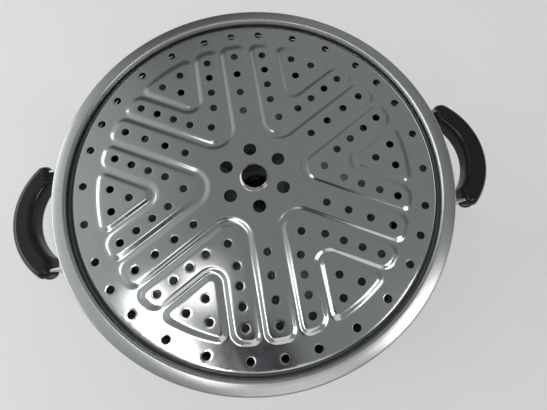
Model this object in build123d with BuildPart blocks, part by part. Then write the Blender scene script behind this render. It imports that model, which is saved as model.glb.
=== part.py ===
from build123d import *
from math import cos, radians, sin
import os

# An idli steamer: a drawn steel pot with a perforated steaming plate in its
# mouth, two moulded grips, and a rack of idli trays that stands inside.
# Millimetres, +Z up. The origin is the centre of the base, on the hob.
# +X runs through the middle of one grip.

os.makedirs("parts", exist_ok=True)

# Pot shell
pot_height = 180.0
shell_sheet = 0.8
body_inner_radius = 111.6
floor_bend_radius = 13.0
ledge_depth = 9.6
ledge_bend_radius = 1.4
ledge_width = 5.2
band_bend_radius = 1.3
lip_width = 8.6
lip_bend_radius = 1.5
hem_bend_radius = 1.5
hem_depth = 3.4
hem_return = 3.0

# Base disc under the floor
base_inset = 16.6
cap_sheet = 0.6
cap_edge_radius = 2.0
core_thickness = 4.4
core_gap = 0.3

# Grips
grip_drop = 24.9
grip_height = 13.5
grip_inner_radius = 35.7
grip_outer_radius = 50.3
grip_width = 77.0
grip_end_reach = 24.9
grip_corner_radius = 5.0
grip_end_corner_radius = 4.6
grip_edge_radius = 4.2

# Brackets that carry the grips
strap_thickness = 2.2
lug_height = 10.0
lug_spread = 67.8
lug_reach = 33.5
lug_corner_radius = 3.0
pad_height = 16.0
weld_gap = 0.3
pocket_clearance = 0.15

# Screws and moulded-in inserts of the grips
screw_radius = 1.9
screw_length = 12.0
screw_reach = 30.2
screw_inset = 1.2
screw_head_radius = 3.1
screw_head_land = 0.3
screw_clearance = 0.05
drive_radius = 1.9
drive_width = 0.9
drive_depth = 1.1
insert_radius = 3.1
insert_length = 8.0

# Steaming plate
plate_sheet = 0.7
plate_gap = 1.8
plate_drop = 4.3
plate_bend_radius = 1.6
pad_rise = 0.8
pad_slope_run = 3.7
pad_inset = 18.5
pad_end_corner_radius = 3.4
groove_half_width = 3.8
outer_groove_offset = 10.3
outer_groove_bend = 11.4
inner_groove_offset = 28.9
inner_groove_bend = 6.5
collar_bore_radius = 7.8
collar_height = 3.6
collar_bend_radius = 1.2
collar_land = 2.0

# Perforation of the plate: its rows run inwards from the ends of the pads
sector_count = 6
vent_radius = 2.45
hub_vent_radius = 4.15
hub_vent_circle = 19.3
ring_inset = 7.0
ring_angles = [6.57, 19.72]
spoke_inset = 6.0
spoke_pitch = 14.2
spoke_count = 4
chevron_inset = 8.09
chevron_pitch = 11.77
chevron_count = 4
chevron_offset = 19.27
chevron_apex_inset = 51.4
triangle_apex_inset = 17.5
triangle_base_inset = 6.2
triangle_base_spread = 14.5

# Rack foot and stem
foot_height = 24.0
foot_sheet = 1.5
foot_hub_radius = 22.0
foot_leg_width = 14.0
foot_leg_count = 3
foot_shoulder_radius = 58.0
foot_toe_radius = 66.0
foot_toe_length = 9.0
foot_bend_radius = 5.0
stem_radius = 4.0
stem_chamfer = 0.6
stem_collar_radius = 7.0
stem_collar_height = 3.6
tenon_radius = 3.0
tenon_clearance = 0.05
rivet_radius = 5.0
rivet_height = 1.5
running_clearance = 0.08

# Idli trays and the sleeves between them
tray_names = ["lower", "middle", "upper"]
tray_gap = 8.6
tray_sheet = 0.8
tray_rim_depth = 4.0
tray_rim_bend = 1.4
lowest_spacer_length = 18.2
spacer_radius = 6.0
cup_count = 4
cup_radius = 38.0
cup_depth = 17.0
cup_circle = 59.0
cup_edge_radius = 1.0
drain_radius = 1.2
drain_circle = 15.0
drain_count = 6
steam_hole_radius = 9.0
steam_hole_circle = 83.0
stagger_share = 0.5

# Washer and knob on top of the rack
washer_radius = 8.5
washer_thickness = 1.0
knob_radius = 11.0
knob_foot_radius = 7.5
knob_height = 20.0
knob_headroom = 22.2
knob_rim_depth = 7.0
knob_foot_height = 4.0
knob_edge_radius = 2.4
knob_foot_edge = 0.6
knob_waist_bend = 2.4
knob_flute_radius = 2.0
knob_flute_depth = 0.8
knob_flute_length = 11.0
knob_flute_count = 12
thread_length = 12.0
thread_end_gap = 1.0

# One overrun serves every cut
cut_overrun = 1.0

# Levels and radii that follow from the driving sizes
half_sector = 180 / sector_count
shell_underside = cap_sheet + core_thickness
floor_top = shell_underside + shell_sheet
ledge_top = pot_height - ledge_depth
body_outer_radius = body_inner_radius + shell_sheet
band_inner_radius = body_inner_radius + ledge_width
lip_outer_radius = band_inner_radius + lip_width
base_radius = body_inner_radius - base_inset
plate_top = pot_height - plate_drop
plate_outer_radius = band_inner_radius - plate_gap
pad_top_radius = plate_outer_radius - pad_inset
ring_radius = plate_outer_radius - ring_inset
tray_radius = body_inner_radius - tray_gap
grip_middle = pot_height - grip_drop
grip_end = body_inner_radius + grip_end_reach
foot_top = floor_top + foot_height
collar_top = foot_top + stem_collar_height
knob_top = plate_top - plate_sheet - knob_headroom
knob_bottom = knob_top - knob_height
lowest_tray_top = collar_top + lowest_spacer_length + tray_sheet
highest_tray_top = knob_bottom - washer_thickness
tray_pitch = (highest_tray_top - lowest_tray_top) / (len(tray_names) - 1)
tray_tops = [lowest_tray_top + i * tray_pitch for i in range(len(tray_names))]
bore_radius = stem_radius + running_clearance

# Pot shell: one drawn sheet, turned about the axis
with BuildPart() as pot_shell:
    with BuildSketch(Plane.XZ):
        with BuildLine():
            FilletPolyline(
                (0, floor_top),
                (body_inner_radius, floor_top),
                (body_inner_radius, ledge_top),
                (band_inner_radius, ledge_top),
                (band_inner_radius, pot_height),
                (lip_outer_radius, pot_height),
                (lip_outer_radius, pot_height - hem_depth),
                (lip_outer_radius - hem_return, pot_height - hem_depth),
                radius=[
                    floor_bend_radius,
                    ledge_bend_radius,
                    band_bend_radius,
                    lip_bend_radius,
                    hem_bend_radius,
                    hem_bend_radius,
                ],
            )
            offset(amount=shell_sheet, side=Side.RIGHT, closed=True)
        make_face()
    revolve(axis=Axis.Z)
pot_shell.part.label = "pot_shell"
export_step(pot_shell.part, "parts/pot_shell.step")

# Base: an aluminium core held against the floor by a steel cap
with BuildPart() as base_cap:
    with BuildSketch(Plane.XZ):
        with BuildLine():
            FilletPolyline(
                (0, 0), (base_radius, 0), (base_radius, shell_underside), radius=cap_edge_radius
            )
            offset(amount=cap_sheet, side=Side.LEFT, closed=True)
        make_face()
    revolve(axis=Axis.Z)
base_cap.part.label = "base_cap"
export_step(base_cap.part, "parts/base_cap.step")

with BuildPart() as base_core:
    with BuildSketch(Plane.XY.offset(cap_sheet)):
        Circle(base_radius - cap_sheet - core_gap)
    extrude(amount=core_thickness)
    fillet(base_core.edges().sort_by(Axis.Z)[0], cap_edge_radius - cap_sheet + core_gap)
base_core.part.label = "base_core"
export_step(base_core.part, "parts/base_core.step")

# The head of each screw looks outwards from its leg of the grip
screw_x = body_inner_radius + screw_reach
screw_face = grip_width / 2 - screw_inset
right_screw_planes = [
    Plane(origin=(screw_x, side * screw_face, grip_middle), z_dir=(0, side, 0)) for side in (1, -1)
]
left_screw_planes = [
    Plane(origin=(-screw_x, side * screw_face, grip_middle), z_dir=(0, side, 0)) for side in (1, -1)
]
lug_inner_face = lug_spread / 2 - strap_thickness / 2
insert_depth = screw_face - lug_inner_face + pocket_clearance


def screw_section(clearance):
    """Half section of a countersunk screw with its head face at zero."""
    with BuildSketch(Plane.XZ) as section:
        with BuildLine():
            Polyline(
                (0, 0),
                (screw_head_radius + clearance, 0),
                (screw_head_radius + clearance, -screw_head_land),
                (screw_radius + clearance, -screw_head_land - screw_head_radius + screw_radius),
                (screw_radius + clearance, -screw_length),
                (0, -screw_length),
                close=True,
            )
        make_face()
    return section.sketch


with BuildPart() as screw:
    add(screw_section(0))
    revolve(axis=Axis.Z)
    with BuildSketch():
        Rectangle(2 * drive_radius, drive_width)
        Rectangle(drive_width, 2 * drive_radius)
    extrude(amount=-drive_depth, mode=Mode.SUBTRACT)

with BuildPart() as handle_screws:
    with Locations(*right_screw_planes, *left_screw_planes):
        add(screw.part)
handle_screws.part.label = "handle_screws"
export_step(handle_screws.part, "parts/handle_screws.step")

with BuildPart() as insert:
    with BuildSketch(Plane.XY.offset(-insert_depth)):
        Circle(insert_radius)
        Circle(screw_radius + screw_clearance, mode=Mode.SUBTRACT)
    extrude(amount=-insert_length)

with BuildPart() as handle_inserts:
    with Locations(*right_screw_planes, *left_screw_planes):
        add(insert.part)
handle_inserts.part.label = "handle_inserts"
export_step(handle_inserts.part, "parts/handle_inserts.step")

# Brackets: a curved pad on the wall with two lugs that reach into the grip
pad_inner_radius = body_outer_radius + weld_gap
lug_tip = body_inner_radius + lug_reach
with BuildPart() as bracket_right:
    with BuildSketch(Plane.XY.offset(grip_middle - pad_height / 2)):
        Circle(pad_inner_radius + strap_thickness)
        Circle(pad_inner_radius, mode=Mode.SUBTRACT)
        with Locations((body_inner_radius, 0)):
            Rectangle(body_inner_radius, lug_spread + strap_thickness, mode=Mode.INTERSECT)
    extrude(amount=pad_height)
    with BuildSketch(Plane.XY.offset(grip_middle - lug_height / 2)):
        with Locations((lug_tip / 2, lug_spread / 2), (lug_tip / 2, -lug_spread / 2)):
            Rectangle(lug_tip, strap_thickness)
        Circle(pad_inner_radius, mode=Mode.SUBTRACT)
    extrude(amount=lug_height)
    fillet(bracket_right.edges().filter_by(Axis.Y).group_by(Axis.X)[-1], lug_corner_radius)
    with BuildSketch(Plane.XZ.offset(-grip_width / 2)):
        with Locations((screw_x, grip_middle)):
            Circle(screw_radius + pocket_clearance)
    extrude(amount=grip_width, mode=Mode.SUBTRACT)
bracket_right.part.label = "bracket_right"
export_step(bracket_right.part, "parts/bracket_right.step")

with BuildPart() as bracket_left:
    add(bracket_right.part, rotation=(0, 0, 180))
bracket_left.part.label = "bracket_left"
export_step(bracket_left.part, "parts/bracket_left.step")

# Grips: a moulded bow whose two legs take the lugs in pockets
with BuildPart() as screw_hole:
    add(screw_section(screw_clearance))
    revolve(axis=Axis.Z)
    with BuildSketch():
        Circle(screw_head_radius + screw_clearance)
    extrude(amount=screw_inset + cut_overrun)

with BuildPart() as insert_seat:
    with BuildSketch(Plane.XY.offset(-insert_depth)):
        Circle(insert_radius + screw_clearance)
    extrude(amount=-insert_length)

with BuildPart() as handle_right:
    with BuildSketch(Plane.XY.offset(grip_middle - grip_height / 2)) as bow:
        with Locations((body_inner_radius, 0)):
            Circle(grip_outer_radius)
        with Locations((grip_end + grip_outer_radius / 2, 0)):
            Rectangle(grip_outer_radius, grip_width, mode=Mode.INTERSECT)
        with Locations((body_inner_radius, 0)):
            Circle(grip_inner_radius, mode=Mode.SUBTRACT)
        sides = bow.vertices().group_by(Axis.Y)
        fillet([sides[i].sort_by(Axis.X)[-1] for i in (0, -1)], grip_corner_radius)
        fillet(bow.vertices().group_by(Axis.X)[0], grip_end_corner_radius)
    extrude(amount=grip_height)
    fillet(handle_right.faces().filter_by(Axis.Z).edges(), grip_edge_radius)
    pocket_depth = lug_tip - grip_end + pocket_clearance
    pocket_middle = grip_end + pocket_depth / 2 - cut_overrun / 2
    with BuildSketch(Plane.XY.offset(grip_middle - lug_height / 2 - pocket_clearance)):
        with Locations((pocket_middle, lug_spread / 2), (pocket_middle, -lug_spread / 2)):
            Rectangle(pocket_depth + cut_overrun, strap_thickness + 2 * pocket_clearance)
    extrude(amount=lug_height + 2 * pocket_clearance, mode=Mode.SUBTRACT)
    with Locations(*right_screw_planes):
        add(screw_hole.part, mode=Mode.SUBTRACT)
        add(insert_seat.part, mode=Mode.SUBTRACT)
handle_right.part.label = "handle_right"
export_step(handle_right.part, "parts/handle_right.step")

with BuildPart() as handle_left:
    add(handle_right.part, rotation=(0, 0, 180))
handle_left.part.label = "handle_left"
export_step(handle_left.part, "parts/handle_left.step")


def sector_region(edge_distance, tip_radius):
    """The part of a sector that lies this far inside both its edges, its tip rounded."""
    slope = radians(half_sector)
    tip = edge_distance / sin(slope)
    far_x = tip + plate_outer_radius * cos(slope)
    far_y = plate_outer_radius * sin(slope)
    with BuildSketch() as region:
        with BuildLine():
            Polyline((tip, 0), (far_x, -far_y), (far_x, far_y), close=True)
        make_face()
        fillet(region.vertices().sort_by(Axis.X)[0], tip_radius)
    return region.sketch


def corners_on_circle(sketch, radius):
    """The sketch's corners on the circle that ends the pads, without its seam."""
    on_circle = [v for v in sketch.vertices() if abs(Vector(v).length - radius) < screw_clearance]
    return [v for v in on_circle if abs(Vector(v).Y) > screw_clearance]


def star_outline(growth):
    """Hub and straight arms, grown from the outline of their top."""
    edge = outer_groove_offset - groove_half_width + growth
    bend = outer_groove_bend + groove_half_width - growth
    with BuildSketch() as outline:
        Circle(pad_top_radius + growth)
        with PolarLocations(0, sector_count):
            add(sector_region(edge, bend), mode=Mode.SUBTRACT)
        corners = corners_on_circle(outline, pad_top_radius + growth)
        fillet(corners, pad_end_corner_radius + growth)
    return outline.sketch


def chevron_outline(growth):
    """One V-shaped band, grown from the outline of its top."""
    near_edge = outer_groove_offset + groove_half_width - growth
    near_bend = outer_groove_bend - groove_half_width + growth
    far_edge = inner_groove_offset - groove_half_width + growth
    far_bend = inner_groove_bend + groove_half_width - growth
    with BuildSketch() as outline:
        add(sector_region(near_edge, near_bend))
        add(sector_region(far_edge, far_bend), mode=Mode.SUBTRACT)
        Circle(pad_top_radius + growth, mode=Mode.INTERSECT)
        corners = corners_on_circle(outline, pad_top_radius + growth)
        fillet(corners, pad_end_corner_radius + growth)
    return outline.sketch


def triangle_outline(growth):
    """One three-cornered pad, grown from the outline of its top."""
    edge = inner_groove_offset + groove_half_width - growth
    bend = inner_groove_bend - groove_half_width + growth
    with BuildSketch() as outline:
        add(sector_region(edge, bend))
        Circle(pad_top_radius + growth, mode=Mode.INTERSECT)
        corners = corners_on_circle(outline, pad_top_radius + growth)
        fillet(corners, pad_end_corner_radius + growth)
    return outline.sketch


def raised_pad(outline):
    """A low pad with sloping sides that stands on the plane of the plate."""
    with BuildPart() as pad:
        with BuildSketch(Plane.XY):
            add(outline(pad_slope_run))
        with BuildSketch(Plane.XY.offset(pad_rise)):
            add(outline(0))
        loft(ruled=True)
    return pad.part


star_pad = raised_pad(star_outline)
chevron_pad = raised_pad(chevron_outline)
triangle_pad = raised_pad(triangle_outline)

# Steaming plate: a pressed sheet with raised pads, a collar and rows of vents
neck_radius = collar_bore_radius + plate_sheet
with BuildPart() as steamer_plate:
    with BuildSketch(Plane.XZ):
        with BuildLine():
            FilletPolyline(
                (0, plate_top),
                (plate_outer_radius, plate_top),
                (plate_outer_radius, ledge_top),
                radius=plate_bend_radius,
            )
            offset(amount=plate_sheet, side=Side.RIGHT, closed=True)
        make_face()
    revolve(axis=Axis.Z)
    for level, mode in ((plate_top, Mode.ADD), (plate_top - plate_sheet, Mode.SUBTRACT)):
        with Locations((0, 0, level)):
            add(star_pad, mode=mode)
            with PolarLocations(0, sector_count):
                add(chevron_pad, mode=mode)
                add(triangle_pad, mode=mode)
    with BuildSketch(Plane.XY.offset(plate_top + pad_rise + cut_overrun)):
        Circle(neck_radius + collar_bend_radius)
    extrude(amount=-pad_rise - plate_sheet - 2 * cut_overrun, mode=Mode.SUBTRACT)
    with BuildSketch(Plane.XZ):
        with BuildLine():
            FilletPolyline(
                (neck_radius, plate_top + collar_height),
                (neck_radius, plate_top + pad_rise),
                (neck_radius + collar_bend_radius + collar_land, plate_top + pad_rise),
                radius=collar_bend_radius,
            )
            offset(amount=plate_sheet, side=Side.RIGHT, closed=True)
        make_face()
    revolve(axis=Axis.Z)
    spoke_end = pad_top_radius - spoke_inset
    chevron_end = pad_top_radius - chevron_inset
    edge_along = Vector(cos(radians(half_sector)), sin(radians(half_sector)))
    edge_inward = Vector(sin(radians(half_sector)), -cos(radians(half_sector)))
    with BuildSketch(Plane.XY.offset(plate_top + pad_rise + cut_overrun)):
        with PolarLocations(0, sector_count):
            for angle in ring_angles:
                with PolarLocations(ring_radius, 1, start_angle=angle):
                    Circle(vent_radius)
                with PolarLocations(ring_radius, 1, start_angle=-angle):
                    Circle(vent_radius)
            with PolarLocations(ring_radius, 1, start_angle=half_sector):
                Circle(vent_radius)
            with PolarLocations(hub_vent_circle, 1, start_angle=half_sector):
                Circle(hub_vent_radius)
            for i in range(spoke_count):
                with PolarLocations(spoke_end - i * spoke_pitch, 1, start_angle=half_sector):
                    Circle(vent_radius)
            for i in range(chevron_count):
                along = chevron_end - i * chevron_pitch
                place = edge_along * along + edge_inward * chevron_offset
                with Locations((place.X, place.Y), (place.X, -place.Y)):
                    Circle(vent_radius)
            with Locations(
                (pad_top_radius - chevron_apex_inset, 0),
                (pad_top_radius - triangle_apex_inset, 0),
                (pad_top_radius - triangle_base_inset, triangle_base_spread / 2),
                (pad_top_radius - triangle_base_inset, -triangle_base_spread / 2),
            ):
                Circle(vent_radius)
    extrude(amount=-pad_rise - plate_sheet - 2 * cut_overrun, mode=Mode.SUBTRACT)
steamer_plate.part.label = "steamer_plate"
export_step(steamer_plate.part, "parts/steamer_plate.step")

# Rack foot: a hub disc on three bent strap legs
leg_turns = [i * 360 / foot_leg_count for i in range(foot_leg_count)]
toe_top = floor_top + foot_sheet
with BuildPart() as foot_leg:
    with BuildSketch(Plane.XZ.offset(-foot_leg_width / 2)):
        with BuildLine():
            FilletPolyline(
                (0, foot_top),
                (foot_shoulder_radius, foot_top),
                (foot_toe_radius, toe_top),
                (foot_toe_radius + foot_toe_length, toe_top),
                radius=[foot_bend_radius, foot_bend_radius - foot_sheet],
            )
            offset(amount=foot_sheet, side=Side.RIGHT, closed=True)
        make_face()
    extrude(amount=foot_leg_width)

with BuildPart() as rack_foot:
    with BuildSketch(Plane.XY.offset(foot_top)):
        Circle(foot_hub_radius)
    extrude(amount=-foot_sheet)
    for turn in leg_turns:
        add(foot_leg.part, rotation=(0, 0, turn))
    with BuildSketch(Plane.XY.offset(foot_top)):
        Circle(tenon_radius + tenon_clearance)
    extrude(amount=-foot_sheet, mode=Mode.SUBTRACT)
rack_foot.part.label = "rack_foot"
export_step(rack_foot.part, "parts/rack_foot.step")

# Stem: a turned rod with a collar, riveted through the hub of the foot
stem_top = knob_bottom + thread_length
rivet_bottom = foot_top - foot_sheet - rivet_height
with BuildPart() as rack_stem:
    with BuildSketch(Plane.XY.offset(rivet_bottom)):
        Circle(rivet_radius)
    extrude(amount=rivet_height)
    with BuildSketch(Plane.XY.offset(foot_top - foot_sheet)):
        Circle(tenon_radius)
    extrude(amount=foot_sheet)
    with BuildSketch(Plane.XY.offset(foot_top)):
        Circle(stem_collar_radius)
    extrude(amount=stem_collar_height)
    with BuildSketch(Plane.XY.offset(collar_top)):
        Circle(stem_radius)
    extrude(amount=stem_top - collar_top)
    chamfer(rack_stem.edges().sort_by(Axis.Z)[-1], stem_chamfer)
    fillet(rack_stem.edges().sort_by(Axis.Z)[0], rivet_height / 2)
rack_stem.part.label = "rack_stem"
export_step(rack_stem.part, "parts/rack_stem.step")

# Sleeves on the stem: one below each tray
sleeve_bottoms = [collar_top] + tray_tops[:-1]
for name, bottom, top in zip(tray_names, sleeve_bottoms, tray_tops):
    with BuildPart() as spacer:
        with BuildSketch(Plane.XY.offset(bottom)):
            Circle(spacer_radius)
            Circle(bore_radius, mode=Mode.SUBTRACT)
        extrude(amount=top - tray_sheet - bottom)
    spacer.part.label = "spacer_" + name
    export_step(spacer.part, "parts/spacer_" + name + ".step")

# One cup: its top face on the plane of the tray, as a shell turned about its own axis
cup_sphere_radius = (cup_radius**2 + cup_depth**2) / (2 * cup_depth)
cup_centre_height = cup_sphere_radius - cup_depth
with BuildPart() as cup_hollow:
    with Locations((0, 0, cup_centre_height)):
        Sphere(cup_sphere_radius)

with BuildPart() as cup_outside:
    with Locations((0, 0, cup_centre_height)):
        Sphere(cup_sphere_radius + tray_sheet)
    with BuildSketch():
        Circle(cup_sphere_radius + tray_sheet)
    extrude(amount=2 * cup_sphere_radius, mode=Mode.SUBTRACT)

# Trays: round sheets with four pressed cups, each a half cup round from the one below
cup_step = 360 / cup_count
for i, (name, top) in enumerate(zip(tray_names, tray_tops)):
    turn = i * stagger_share * cup_step
    with BuildPart() as tray:
        with BuildSketch(Plane.XZ):
            with BuildLine():
                FilletPolyline(
                    (0, top), (tray_radius, top), (tray_radius, top - tray_rim_depth), radius=tray_rim_bend
                )
                offset(amount=tray_sheet, side=Side.RIGHT, closed=True)
            make_face()
        revolve(axis=Axis.Z)
        with Locations((0, 0, top)):
            with PolarLocations(cup_circle, cup_count, start_angle=turn):
                add(cup_outside.part)
        with Locations((0, 0, top)):
            with PolarLocations(cup_circle, cup_count, start_angle=turn):
                add(cup_hollow.part, mode=Mode.SUBTRACT)
        lips = tray.edges().filter_by(GeomType.CIRCLE).group_by(Axis.Z)[-1]
        fillet(lips.filter_by(lambda e: abs(e.radius - cup_radius) < cup_edge_radius / 2), cup_edge_radius)
        with BuildSketch(Plane.XY.offset(top + cut_overrun)):
            Circle(bore_radius)
            with PolarLocations(cup_circle, cup_count, start_angle=turn):
                Circle(drain_radius)
                with PolarLocations(drain_circle, drain_count):
                    Circle(drain_radius)
            with PolarLocations(steam_hole_circle, cup_count, start_angle=turn + cup_step / 2):
                Circle(steam_hole_radius)
        extrude(amount=-cup_depth - tray_sheet - 2 * cut_overrun, mode=Mode.SUBTRACT)
    tray.part.label = "tray_" + name
    export_step(tray.part, "parts/tray_" + name + ".step")

# Washer between the top tray and the knob
with BuildPart() as knob_washer:
    with BuildSketch(Plane.XY.offset(tray_tops[-1])):
        Circle(washer_radius)
        Circle(bore_radius, mode=Mode.SUBTRACT)
    extrude(amount=washer_thickness)
knob_washer.part.label = "knob_washer"
export_step(knob_washer.part, "parts/knob_washer.step")

# Knob: a turned grip with shallow flutes, threaded onto the end of the stem
flute_centre = knob_radius + knob_flute_radius - knob_flute_depth
with BuildPart() as rack_knob:
    with BuildSketch(Plane.XZ):
        with BuildLine():
            FilletPolyline(
                (0, knob_bottom),
                (knob_foot_radius, knob_bottom),
                (knob_foot_radius, knob_bottom + knob_foot_height),
                (knob_radius, knob_top - knob_rim_depth),
                (knob_radius, knob_top),
                (0, knob_top),
                radius=[knob_foot_edge, knob_waist_bend, knob_edge_radius, knob_edge_radius],
            )
            Line((0, knob_top), (0, knob_bottom))
        make_face()
    revolve(axis=Axis.Z)
    with BuildSketch(Plane.XY.offset(knob_top)):
        with PolarLocations(flute_centre, knob_flute_count):
            Circle(knob_flute_radius)
    extrude(amount=-knob_flute_length, mode=Mode.SUBTRACT)
    with BuildSketch(Plane.XY.offset(knob_bottom)):
        Circle(bore_radius)
    extrude(amount=thread_length + thread_end_gap, mode=Mode.SUBTRACT)
rack_knob.part.label = "rack_knob"
export_step(rack_knob.part, "parts/rack_knob.step")
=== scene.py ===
from math import atan2, ceil, cos, floor, hypot, pi, radians, sin, sqrt

import bmesh
import bpy
from bpy.props import FloatProperty, FloatVectorProperty, IntProperty, PointerProperty
from mathutils import Euler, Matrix, Vector, geometry, noise


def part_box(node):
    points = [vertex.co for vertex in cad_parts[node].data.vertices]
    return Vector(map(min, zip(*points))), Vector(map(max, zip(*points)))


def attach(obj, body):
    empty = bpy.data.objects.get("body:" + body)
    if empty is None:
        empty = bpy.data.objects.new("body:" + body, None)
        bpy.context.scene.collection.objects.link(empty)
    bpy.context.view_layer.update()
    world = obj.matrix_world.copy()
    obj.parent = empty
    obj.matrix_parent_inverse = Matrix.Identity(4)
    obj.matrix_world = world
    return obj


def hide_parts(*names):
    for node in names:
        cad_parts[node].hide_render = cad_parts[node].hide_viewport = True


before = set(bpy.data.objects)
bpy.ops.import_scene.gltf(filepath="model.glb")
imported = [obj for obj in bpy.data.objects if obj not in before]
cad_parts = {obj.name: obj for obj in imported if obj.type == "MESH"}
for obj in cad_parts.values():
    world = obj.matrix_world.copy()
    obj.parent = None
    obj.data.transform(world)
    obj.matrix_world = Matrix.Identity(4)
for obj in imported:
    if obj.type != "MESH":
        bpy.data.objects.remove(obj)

bl_info = {
    "name": "Idli steamer",
    "version": (1, 0, 0),
    "blender": (4, 5, 0),
    "location": "3D View > Sidebar > Steamer",
    "description": "Dresses the steamer's pot, perforated plate, grips and idli rack",
    "category": "Add Mesh",
}

MM = 0.001
SECTORS = 6
HALF_SECTOR = radians(30)

# All sizes below are in millimetres.
# The plate's vents: one ring near the rim, one about the collar, a row out along each arm of the
# star, a row along both sides of each V band with one vent at its tip, and three in each triangle
RING_CIRCLE = 108.0
RING_ANGLES = (-19.72, -6.57, 6.57, 19.72, 30.0)
HUB_CIRCLE = 19.3
ROW_VENTS = 4
ARM_START, ARM_PITCH = 47.9, 14.2
BAND_START, BAND_PITCH, BAND_SIDE, BAND_TIP = 53.1, 11.77, 19.27, 45.1
TRIANGLE_TIP, TRIANGLE_BASE, TRIANGLE_SPREAD = 79.0, 90.3, 7.25

# The plate's collar: its height, and the round of its mouth as (inset, drop) steps
COLLAR_HEIGHT = 3.6
COLLAR_ROUND = ((0.0, 0.30), (0.04, 0.14), (0.14, 0.04), (0.28, 0.0))

# Sheet this thin never lies quite flat: the length and height of the waves that stay in it
PLATE_WAVE, PLATE_WAVE_HEIGHT, PLATE_WAVE_FADE = 45, 0.05, 14
TRAY_WAVE, TRAY_WAVE_HEIGHT = 50, 0.04

# The pot's wall: levels below the lip, then bend radii from the floor to the hem
LEDGE_DROP, LIP_FALL, HEM_DROP = 9.6, 0.7, 3.4
HEM_FLARE, HEM_RETURN = 0.05, 3.0
FLOOR_BEND, LEDGE_BEND, BAND_BEND = 13, 1.4, 1.3
LIP_BEND, HEM_BEND, HEM_EDGE_BEND = 1.5, 1.3, 1.2
FLOOR_RING, WALL_RING, WALL_SIDE = 60, 90, 100

# The ground cap of the base
CAP_SHEET, CAP_HEIGHT, CAP_BEND, CAP_INNER_BEND = 0.6, 5.0, 2.0, 1.4

# The trays: rim, drain and steam holes, and the distances from a cup's mouth that get a ring
TRAY_BEND, STEM_HOLE, DRAIN_HOLE, STEAM_HOLE = 1.4, 4.08, 1.2, 9.0
DRAIN_COUNT, DRAIN_CIRCLE, STEAM_CIRCLE = 6, 15, 83
CUP_SOFTNESS, CUP_REACH = 0.35, 6
CUP_RINGS = (-3.4, -2.4, -1.5, -0.8, -0.35, 0.0, 0.35, 0.8, 1.5, 2.6)

# The rack's stem with its rivet, tenon and collar, then its sleeves and washer
ROD, TENON, RIVET, RIVET_HEIGHT, RIVET_ROUND = 4.0, 3.0, 5.0, 1.5, 0.75
COLLAR_REACH, COLLAR_RISE, COLLAR_EDGE, ROD_CHAMFER, ROD_EDGE = 7.0, 3.0, 0.3, 0.6, 0.2
SLEEVE_REACH, WASHER_REACH, SLEEVE_MIDDLE, SLEEVE_EDGE, SLEEVE_BORE_EDGE = 6.0, 8.5, 5.0, 0.25, 0.2

# Spacing of the points round a vent, the ring of points outside it, and the drop of its edge
VENT_STEP, VENT_MARGIN, VENT_ROLL = 0.62, 0.45, 0.05
FEWEST_VENT_POINTS, MOST_VENT_POINTS = 20, 72

# Points closer than WELD are one; an open edge is looked for within EDGE_SEARCH of its radius
WELD, EDGE_SEARCH = 0.002, 0.1


# Sizes and colours

def linear(code):
    """Linear colour of an sRGB hex value."""
    channels = [int(code[i:i + 2], 16) / 255 for i in (0, 2, 4)]
    curve = [c / 12.92 if c <= 0.04045 else ((c + 0.055) / 1.055) ** 2.4 for c in channels]
    return (*curve, 1.0)


class PlateSizes(bpy.types.PropertyGroup):
    """Sizes of the pressed steaming plate"""

    radius: FloatProperty(
        name="Radius", description="Outer radius of the plate", unit="LENGTH",
        default=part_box("steamer_plate")[1].x)
    ledge: FloatProperty(
        name="Ledge level", description="Height of the ledge that the plate's rim stands on",
        unit="LENGTH", default=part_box("steamer_plate")[0].z)
    drop: FloatProperty(
        name="Rim drop", description="How far the rim reaches below the flat of the plate",
        unit="LENGTH", default=5.3 * MM)
    sheet: FloatProperty(
        name="Sheet", description="Thickness of the sheet", unit="LENGTH", default=0.7 * MM)
    bend: FloatProperty(
        name="Rim bend", description="Radius of the bend at the rim", unit="LENGTH",
        default=1.6 * MM)
    rise: FloatProperty(
        name="Pad rise", description="Height of the pressed pads", unit="LENGTH", default=0.8 * MM)
    slope: FloatProperty(
        name="Pad slope", description="Width of the slope at a pad's side", unit="LENGTH",
        default=3.7 * MM)
    pad_radius: FloatProperty(
        name="Pad radius", description="Radius at which the tops of the pads end",
        unit="LENGTH", default=96.5 * MM)
    pad_corner: FloatProperty(
        name="Pad corner", description="Corner radius at the outer ends of the pads",
        unit="LENGTH", default=3.4 * MM)
    groove: FloatProperty(
        name="Groove half width", description="Half the distance between the tops of two pads",
        unit="LENGTH", default=3.8 * MM)
    outer_groove: FloatProperty(
        name="Outer groove", description="Distance of the outer groove from the arm's middle",
        unit="LENGTH", default=10.3 * MM)
    outer_bend: FloatProperty(
        name="Outer groove bend", description="Bend radius of the outer groove",
        unit="LENGTH", default=11.4 * MM)
    inner_groove: FloatProperty(
        name="Inner groove", description="Distance of the inner groove from the arm's middle",
        unit="LENGTH", default=28.9 * MM)
    inner_bend: FloatProperty(
        name="Inner groove bend", description="Bend radius of the inner groove",
        unit="LENGTH", default=6.5 * MM)
    collar_radius: FloatProperty(
        name="Collar radius", description="Outer radius of the collar", unit="LENGTH",
        default=8.5 * MM)
    collar_bend: FloatProperty(
        name="Collar bend", description="Bend radius at the collar's foot", unit="LENGTH",
        default=1.2 * MM)
    vent: FloatProperty(
        name="Vent", description="Radius of the small vents", unit="LENGTH", default=2.45 * MM)
    hub_vent: FloatProperty(
        name="Hub vent", description="Radius of the vents round the collar", unit="LENGTH",
        default=4.15 * MM)
    mesh_step: FloatProperty(
        name="Mesh step", description="Distance between the points of the sheet's mesh",
        unit="LENGTH", default=1.15 * MM)


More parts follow.
